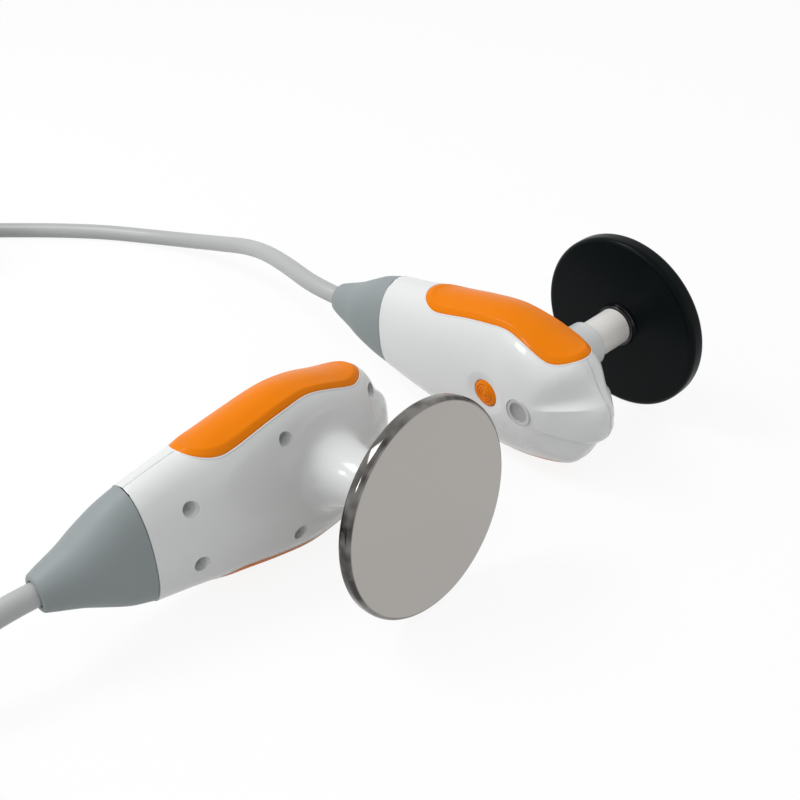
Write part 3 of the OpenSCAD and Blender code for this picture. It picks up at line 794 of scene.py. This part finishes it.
def screw_cutter(spot, sign):
    """The deep hole for a screw, with a small round-over at its mouth."""
    x, y, seam = spot
    mouth = closed_height(x, y, 1) + seam
    r = SCREW_HOLE_R
    profile = [(0, seam + 3.2), (r, seam + 3.2), (r, mouth - 0.5), (r + 0.12, mouth - 0.1), (r + 0.4, mouth + 0.25)]
    profile += [(r + 0.9, mouth + 4), (0, mouth + 4)]
    return shifted(lathe(profile, 48), (x, sign * y, 0))


def grip_ring(side, inset, out):
    """A ring along the grip's outline, moved in by inset and out of the skin by out."""
    middle, half = (GRIP_X[0] + GRIP_X[1]) / 2, (GRIP_X[1] - GRIP_X[0]) / 2

    def place(j):
        a = math.tau * (j + 0.5) / GRIP_COUNT
        turn = math.copysign(grip_angle(middle + half * math.cos(a)), math.sin(a)) * (1 - inset / GRIP_DEPTH)
        point = skin_point(middle + (half - inset) * math.cos(a), math.radians(turn), out)
        return Vector((point.x, side * point.y, point.z))

    return place


def grip_mesh(side):
    """The orange band: a sloping edge 2 mm wide, a crest and a field sunk inside it."""
    profile = [(inset, -1.3) for inset in (GRIP_DEPTH, 6.0, 3.0, 1.0)]
    profile += [
        (0.35, -1.2), (-0.02, -1.0), (-0.05, -0.25), (0.0, -0.02), (0.1, 0.08), (0.4, 0.16), (0.9, 0.24), (1.4, 0.33),
        (1.7, 0.38), (1.9, 0.39), (2.1, 0.36), (2.5, 0.24), (3.0, 0.08), (3.6, -0.06), (4.4, -0.16), (5.6, -0.22),
        (7.2, -0.24), (GRIP_DEPTH, -0.24),
    ]
    return loft(GRIP_COUNT, [grip_ring(side, *step) for step in profile])


def grip_slot(side):
    """What is cut out of the shells for a grip."""
    insets = (GRIP_DEPTH, 6.0, 3.0, 1.0)
    profile = [(inset, -1.35) for inset in insets] + [(-0.08, out) for out in (-1.35, 0.0, 1.5)]
    profile += [(inset, 1.5) for inset in reversed(insets)]
    return loft(GRIP_COUNT, [grip_ring(side, *step) for step in profile])


def grip_edge_mesh(side):
    """The shell's rounded edge round a grip: a thin bead that catches the light."""
    bead = arc((-0.32, -0.12), 0.3, 180, -180, 8)[:-1]
    return loft(GRIP_COUNT, [grip_ring(side, *step) for step in bead], closed=True)


def boot_mesh():
    """The rubber boot: a bell that narrows to a rounded lip round the lead, hollow inside."""
    count, squareness = 128, 2.15
    rows = smoothed(BOOT_ROWS, 6)

    def section(row, grow, along=0.0):
        def place(j):
            a = math.tau * j / count
            place, wide, thick, middle, lean = row
            z = (thick + grow) * power(math.sin(a), 2 / squareness)
            return Vector((place + along + lean * z, (wide + grow) * power(math.cos(a), 2 / squareness), middle + z))

        return place

    def round_mouth(radius, back):
        slope = math.radians(CABLE_SLOPE)

        def place(j):
            a = math.tau * j / count
            along = Vector((math.cos(slope), 0, math.sin(slope)))
            up = Vector((-math.sin(slope), 0, math.cos(slope)))
            return BOOT_TIP + along * back + up * radius * math.sin(a) + Vector((0, radius * math.cos(a), 0))

        return place

    tip, end = BOOT_ROWS[0], BOOT_ROWS[-1]
    rings = [round_mouth(*lip) for lip in ((4.1, 9.0), (4.0, 1.2), (4.15, 0.3), (4.6, 0.0))]
    rings += [section(tip, -0.75, -0.5), section(tip, -0.3, -0.35)]
    rings += [section(row, 0.0) for row in rows]
    rings += [section(end, *step) for step in ((-0.08, 0.1), (-0.3, 0.22), (-2.0, 0.22), (-2.4, 5.0), (-4.4, 5.0))]
    rings += [section(BOOT_ROWS[-3], -2.6), section(BOOT_ROWS[2], -2.6)]
    return loft(count, rings, closed=True)


def disc_profile(thickness, edge):
    """Half section of a disc with round rims. The treatment face is very slightly sunk inside its rim."""
    r = sizes().disc_diameter / MM / 2
    back = sizes().disc_back / MM
    front = back + thickness
    profile = [(0, back), (r * 0.5, back), (r - edge - 1, back)]
    profile += arc((r - edge, back + edge), edge, -90, 0, 8)
    profile += arc((r - edge, front - edge), edge, 0, 90, 8)
    profile += [(r - edge - 1, front - 0.01), (r * 0.5, front - 0.02), (0, front - 0.02)]
    return profile


def button_profile():
    """Half section of the push button: fine concentric steps on a low dome."""
    r = sizes().button_diameter / MM / 2
    top = FACE_Z + 0.15
    profile = [(0, top - 0.1), (0.7, top - 0.08)]
    ridge = 1.0
    while ridge < r - 1.0:
        fall = 0.5 * (ridge / r) ** 2
        profile += [(ridge, top + fall + 0.02), (ridge + 0.14, top + fall + 0.24), (ridge + 0.4, top + fall + 0.24)]
        profile += [(ridge + 0.54, top + fall), (ridge + 0.85, top + fall - 0.03)]
        ridge += 1.1
    profile += arc((r - 0.55, top + 1.05), 0.55, -90, 0, 5)
    profile += [(r, -18.7), (6.3, -18.7), (6.3, -17.6), (2.2, -17.6), (2.2, -15.75), (0, -15.75)]
    return profile


def window_profile():
    """Half section of the window: a flat rim and a shallow sunk field inside it."""
    r = sizes().window_diameter / MM / 2
    face = -21.28
    profile = [(0, face + 0.95), (WINDOW_FIELD_R - 0.3, face + 0.93), (WINDOW_FIELD_R - 0.08, face + 0.85)]
    profile += [(WINDOW_FIELD_R, face + 0.7), (WINDOW_FIELD_R + 0.05, face + 0.12), (WINDOW_FIELD_R + 0.2, face + 0.02)]
    profile += arc((r - 0.25, face + 0.25), 0.25, -90, 0, 4)
    return profile + [(r, -18.7), (6.2, -18.7), (6.2, -18.0), (0, -18.0)]


# The leads


def coil_points(which):
    """The coil's middle line: it spirals in and out in four layers and climbs where the spiral reverses."""
    at, start_a, turns = (COILS[which][k] for k in ("at", "start", "turns"))
    low = sizes().lead_diameter / MM / 2
    per_layer = turns / COIL_LAYERS
    steps = round(turns * 32)

    def wave(t):
        whole = math.floor(t)
        return t - whole if whole % 2 == 0 else 1 - t + whole

    def climb(t):
        return min(max((t + 0.25) / 0.5, 0), 1)

    points = []
    for i in range(steps + 1):
        s = turns * i / steps
        r = COIL_R - COIL_PITCH * per_layer * wave(s / per_layer)
        a = math.radians(start_a + 360 * s)
        level = sum(climb(s - k * per_layer) for k in range(1, COIL_LAYERS))
        points.append(Vector((at[0] + r * math.cos(a), at[1] + r * math.sin(a), low + COIL_PITCH * level)))
    angles = (math.radians(start_a + 360 * t) for t in (0, turns))
    before, after = (Vector((-math.sin(a), math.cos(a), 0)) * 2 * low for a in angles)
    return [points[0] - before] + points + [points[-1] + after]


def lead_points(which):
    """The whole lead's middle line, and where and which way its plug lies."""
    coil = coil_points(which)
    low = sizes().lead_diameter / MM / 2
    way = (coil[-1] - coil[-2]).normalized()
    drop = PLUG_Z - low - COIL_PITCH * (COIL_LAYERS - 1)
    scale = drop / TAIL_DOWN[-1][1]
    tail = [coil[-1] + way * TAIL_RUN * t + Vector((0, 0, z * scale)) for t, z in TAIL_DOWN]
    route = smoothed([*ROUTES[which], coil[0]], 4)
    line = [Vector(p) for p in route[:-1] + coil[:-1] + smoothed(tail, 4)]
    return line, tail[-1], way


def plug_matrix(at, way):
    """Turns +Z of a lathed plug piece along the plug's axis."""
    return Matrix.Translation(Vector((at.x, at.y, PLUG_Z))) @ way.to_track_quat("Z", "Y").to_matrix().to_4x4()


def relief_profile():
    """Ribbed strain relief behind the plug."""
    profile = [(0, 0), (4.4, 0)] + arc((4.4, 0.5), 0.5, -90, 0, 4)
    z = 2.0
    while z < RELIEF_L - 6:
        r = 4.9 + 1.2 * z / RELIEF_L
        profile += [(r, z), (r - 0.7, z + 0.35), (r - 0.7, z + 1.15), (r + 0.1, z + 1.5)]
        z += 2.6
    return profile + [(6.1, RELIEF_L - 4), (6.2, RELIEF_L - 0.4), (6.0, RELIEF_L), (0, RELIEF_L)]


def body_profile():
    """The plug's metal shell, hollow at the front."""
    low = RELIEF_L
    face = low + PLUG_L
    end = face + 8
    profile = [(0, low), (6.6, low)] + arc((6.6, low + 0.4), 0.4, -90, 0, 4)
    profile += [(7, low + 2), (6.8, low + 2.2), (6.8, low + 2.8), (7, low + 3), (7, low + 8.8), (6.8, low + 9)]
    profile += [(5.5, low + 9), (5.5, face - 0.4), (5.8, face - 0.4), (6, face - 0.2)]
    return profile + arc((5.7, end - 0.3), 0.3, 0, 90, 3) + [(5.2, end), (5, end - 0.2), (5, face), (0, face)]


def ring_profile():
    """The locking ring with grooves for the fingers."""
    low = RELIEF_L + 9.35
    inner = 5.56
    profile = [(inner, low), (7.1, low), (7.85, low + 0.75)]
    z = low + 2.2
    while z < low + 10.2:
        profile += [(7.85, z), (7.5, z + 0.3), (7.5, z + 0.7), (7.85, z + 1.0)]
        z += 1.9
    return profile + [(7.85, low + 12.4), (7.1, low + 13.2), (inner, low + 13.2)]


def looked_at(tree):
    """1 for what the camera sees directly, in a mirror or through glass, 0 for light that lands on things."""
    path = add(tree, "ShaderNodeLightPath")
    seen = path.outputs["Is Camera Ray"]
    for ray in ("Is Glossy Ray", "Is Transmission Ray"):
        seen = add(tree, "ShaderNodeMath", {0: seen, 1: path.outputs[ray]}, operation="MAXIMUM").outputs[0]
    return seen


class MakeStage(bpy.types.Operator):
    """Floor, soft lights and the photograph's camera"""

    bl_idname = "handpieces.stage"
    bl_label = "Stage"

    def execute(self, context):
        scene = context.scene
        data = bpy.data.cameras.new("camera")
        data.sensor_width, data.lens = 36, CAMERA_LENS
        data.clip_start, data.clip_end = 0.01, 10
        camera = linked("camera", data)
        camera.location = CAMERA_AT * MM
        camera.rotation_euler = (math.radians(90 - CAMERA_DOWN), 0, 0)
        scene.camera = camera
        mesh = bmesh.new()
        bmesh.ops.create_circle(mesh, cap_ends=True, segments=64, radius=3)
        floor = to_object(mesh, "floor")
        floor.location.z = -0.00005
        floor.data.materials.append(self.floor_material())
        self.world(scene)
        for name, (at, aim, width, height, watts) in SOFTBOXES.items():
            light = bpy.data.lights.new(name, "AREA")
            light.shape = "RECTANGLE"
            light.size, light.size_y, light.energy = width, height, watts
            lamp = linked(name, light)
            lamp.location = at
            lamp.rotation_euler = (Vector(aim) - Vector(at)).to_track_quat("-Z", "Y").to_euler()
        scene.view_settings.view_transform = "Standard"
        return {"FINISHED"}

    def floor_material(self):
        """White paper: the camera, metal and glass see it white with the object's faint shadow kept."""
        made, tree, shader = start("white_paper_sweep", Roughness=0.9)
        seen = looked_at(tree)
        sides = {"Factor": seen, 6: rgba(colours().floor_bounce), 7: rgba(colours().floor)}
        paper = add(tree, "ShaderNodeMix", sides, data_type="RGBA")
        tree.links.new(paper.outputs[2], shader.inputs["Base Color"])
        glow = add(tree, "ShaderNodeEmission", {"Color": rgba(colours().floor), "Strength": 1.0})
        share = add(tree, "ShaderNodeMath", {0: seen, 1: FLOOR_GLOW}, operation="MULTIPLY")
        mix = add(tree, "ShaderNodeMixShader", {0: share.outputs[0], 1: shader.outputs[0], 2: glow.outputs[0]})
        tree.links.new(mix.outputs[0], tree.nodes["Material Output"].inputs["Surface"])
        return made

    def world(self, scene):
        """A pale room: white where it is looked at or mirrored, a soft grey dome for the light it gives."""
        world = bpy.data.worlds.new("studio")
        scene.world = world
        world.use_nodes = True
        tree = world.node_tree
        place = add(tree, "ShaderNodeTexCoord").outputs["Generated"]
        apart = add(tree, "ShaderNodeSeparateXYZ", {0: place})
        dome = dict(zip((3, 4), DOME_LIGHT))
        rise = add(tree, "ShaderNodeMapRange", {"Value": apart.outputs[2], 1: 0.0, 2: 0.7, **dome})
        sides = {"Factor": looked_at(tree), 6: rise.outputs[0], 7: (1, 1, 1, 1)}
        mix = add(tree, "ShaderNodeMix", sides, data_type="RGBA")
        tree.links.new(mix.outputs[2], tree.nodes["Background"].inputs["Color"])


class MakeLeads(bpy.types.Operator):
    """Both leads with their coils and plugs"""

    bl_idname = "handpieces.leads"
    bl_label = "Leads and plugs"

    def execute(self, context):
        for which in HANDLES:
            line, plug_at, way = lead_points(which)
            data = bpy.data.curves.new(which + "_lead", "CURVE")
            data.dimensions = "3D"
            data.bevel_depth = sizes().lead_diameter / 2
            data.bevel_resolution = 6
            data.use_fill_caps = True
            spline = data.splines.new("POLY")
            spline.points.add(len(line) - 1)
            for point, spot in zip(spline.points, line):
                point.co = (*(spot * MM), 1)
            lead = linked(which + "_lead", data)
            data.materials.append(material("pvc"))
            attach(lead, which + " handpiece")
            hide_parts(which + "_cord", which + "_cord_coil", which + "_cord_tail")
            place = plug_matrix(plug_at, way)
            pieces = [
                dress(lathe(profile, 64), which, part, kind, body, 40, place)
                for part, profile, kind, slot, body in (
                    ("plug_relief", relief_profile(), "relief", "plug_boot", "handpiece"),
                    ("plug_body", body_profile(), "nickel", "plug_metal", "handpiece"),
                    ("plug_ring", ring_profile(), "nickel", "plug_metal", "plug ring"),
                )
            ]
            pieces.append(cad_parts[which + "_plug_pins"])
        return {"FINISHED"}


class MakeShells(bpy.types.Operator):
    """Both half shells of each handle, with the neck, the screw holes and the button's dish"""

    bl_idname = "handpieces.shells"
    bl_label = "Shells"

    def execute(self, context):
        for which in HANDLES:
            upper = to_object(shell_mesh(1), which + "_electrode_side_shell_form")
            spots = [(spot, sign) for spot in SCREW_SPOTS for sign in (1, -1)]
            cut(upper, [to_object(boss_mesh(*s), "boss") for s in spots], "UNION")
            cut(upper, [to_object(screw_cutter(*s), "drill") for s in spots])
            cut(upper, [to_object(grip_slot(sign), "slot") for sign in (1, -1)])
            dress(upper, which, "electrode_side_shell", "abs")
            lower = to_object(shell_mesh(-1), which + "_button_side_shell_form")
            hole = lathe([(0, -26), (WINDOW_HOLE_R, -26), (WINDOW_HOLE_R, -14), (0, -14)])
            drill = to_object(shifted(hole, (WINDOW_X, 0, 0)), "drill")
            cut(lower, [drill] + [to_object(grip_slot(sign), "slot") for sign in (1, -1)])
            dress(lower, which, "button_side_shell", "abs")
        return {"FINISHED"}


class MakeGrips(bpy.types.Operator):
    """The orange bands and the shell's edge round them"""

    bl_idname = "handpieces.grips"
    bl_label = "Grips"

    def execute(self, context):
        for which in HANDLES:
            for name, side in (("left", 1), ("right", -1)):
                dress(grip_mesh(side), which, name + "_grip", "tpu")
                edge = to_object(grip_edge_mesh(side), f"{which}_{name}_grip_edge")
                finish(edge, handle_matrix(which), which + " handpiece", material("abs"))
        return {"FINISHED"}


class MakeBoots(bpy.types.Operator):
    """The rubber boots"""

    bl_idname = "handpieces.boots"
    bl_label = "Boots"

    def execute(self, context):
        for which in HANDLES:
            dress(boot_mesh(), which, "cable_boot", "rubber")
        return {"FINISHED"}


class MakeControls(bpy.types.Operator):
    """Push buttons and indicator windows"""

    bl_idname = "handpieces.controls"
    bl_label = "Button and window"

    def execute(self, context):
        for which in HANDLES:
            button = shifted(lathe(button_profile()), (BUTTON_X, 0, 0))
            dress(button, which, "push_button", "tpu", "push button", 50)
            window = shifted(lathe(window_profile()), (WINDOW_X, 0, 0))
            dress(window, which, "indicator_window", "window", crease=50)
        return {"FINISHED"}


class MakeElectrodes(bpy.types.Operator):
    """Discs, collars and stems"""

    bl_idname = "handpieces.electrodes"
    bl_label = "Electrodes"

    def execute(self, context):
        back = sizes().disc_back / MM
        stem = sizes().sleeve_diameter / MM / 2
        for which, thickness, edge, kind, slot in (
            ("steel", sizes().steel_thickness / MM, 1.6, "steel", "polished_disc"),
            ("black", sizes().black_thickness / MM, 2.0, "coating", "black_coated_disc"),
        ):
            disc = lathe(disc_profile(thickness, edge), 192)
            dress(disc, which, "electrode_disc", kind, "electrode", 60)
            sleeve = [(2.6, 8.3), (stem - 0.4, 8.3)] + arc((stem - 0.4, 8.7), 0.4, -90, 0, 4)
            sleeve += [(stem, 20), (stem, 32), (stem, back - 0.3), (2.6, back - 0.3)]
            dress(lathe(sleeve), which, "electrode_sleeve", "stem", "electrode")
            collar = [(stem + 0.02, back - 1.6), (stem + 0.6, back - 1.6)]
            collar += arc((stem + 0.7, back - 1.2), 0.4, -60, 0, 4)
            collar += [(stem + 1.5, back - 0.3), (stem + 1.6, back - 0.02), (stem + 0.02, back - 0.02)]
            dress(lathe(collar), which, "disc_collar", "collar", "electrode")
        return {"FINISHED"}


class DressInside(bpy.types.Operator):
    """Materials of the pieces that come straight from the CAD"""

    bl_idname = "handpieces.inside"
    bl_label = "Inner pieces"

    def execute(self, context):
        kinds = {
            "screws": ("case_screws", "electrode_pin"),
            "nylon": ("cable_clamp", "switch_plunger", "switch_body"),
            "led": ("indicator_led",),
            "board": ("circuit_board",),
            "ivory": ("socket_holder",),
            "gold": ("electrode_socket", "plug_pins"),
            "seal": ("neck_seal",),
            "pvc": ("inner_cable",),
            "wire": ("inner_leads",),
        }
        for which in HANDLES:
            for kind, parts in kinds.items():
                for part in parts:
                    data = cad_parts[f"{which}_{part}"].data
                    data.materials.clear()
                    data.materials.append(material(kind))
        return {"FINISHED"}


class HandpiecePanel(bpy.types.Panel):
    """Lists the steps and the settings"""

    bl_idname = "VIEW3D_PT_handpieces"
    bl_label = "Handpieces"
    bl_space_type = "VIEW_3D"
    bl_region_type = "UI"
    bl_category = "Handpieces"

    def draw(self, context):
        for step in STEPS:
            self.layout.operator(step.bl_idname)
        for group in (context.scene.handpiece_sizes, context.scene.handpiece_colours):
            box = self.layout.box()
            for name in group.__annotations__:
                box.prop(group, name)


STEPS = (MakeStage, MakeLeads, MakeShells, MakeGrips, MakeBoots, MakeControls, MakeElectrodes, DressInside)
CLASSES = (HandpieceSizes, HandpieceColours, *STEPS, HandpiecePanel)


def register():
    for item in CLASSES:
        bpy.utils.register_class(item)
    bpy.types.Scene.handpiece_sizes = PointerProperty(type=HandpieceSizes)
    bpy.types.Scene.handpiece_colours = PointerProperty(type=HandpieceColours)


def unregister():
    del bpy.types.Scene.handpiece_sizes
    del bpy.types.Scene.handpiece_colours
    for item in reversed(CLASSES):
        bpy.utils.unregister_class(item)


def main():
    register()
    for step in STEPS:
        group, name = step.bl_idname.split(".")
        getattr(getattr(bpy.ops, group), name)()


if __name__ == "__main__":
    main()
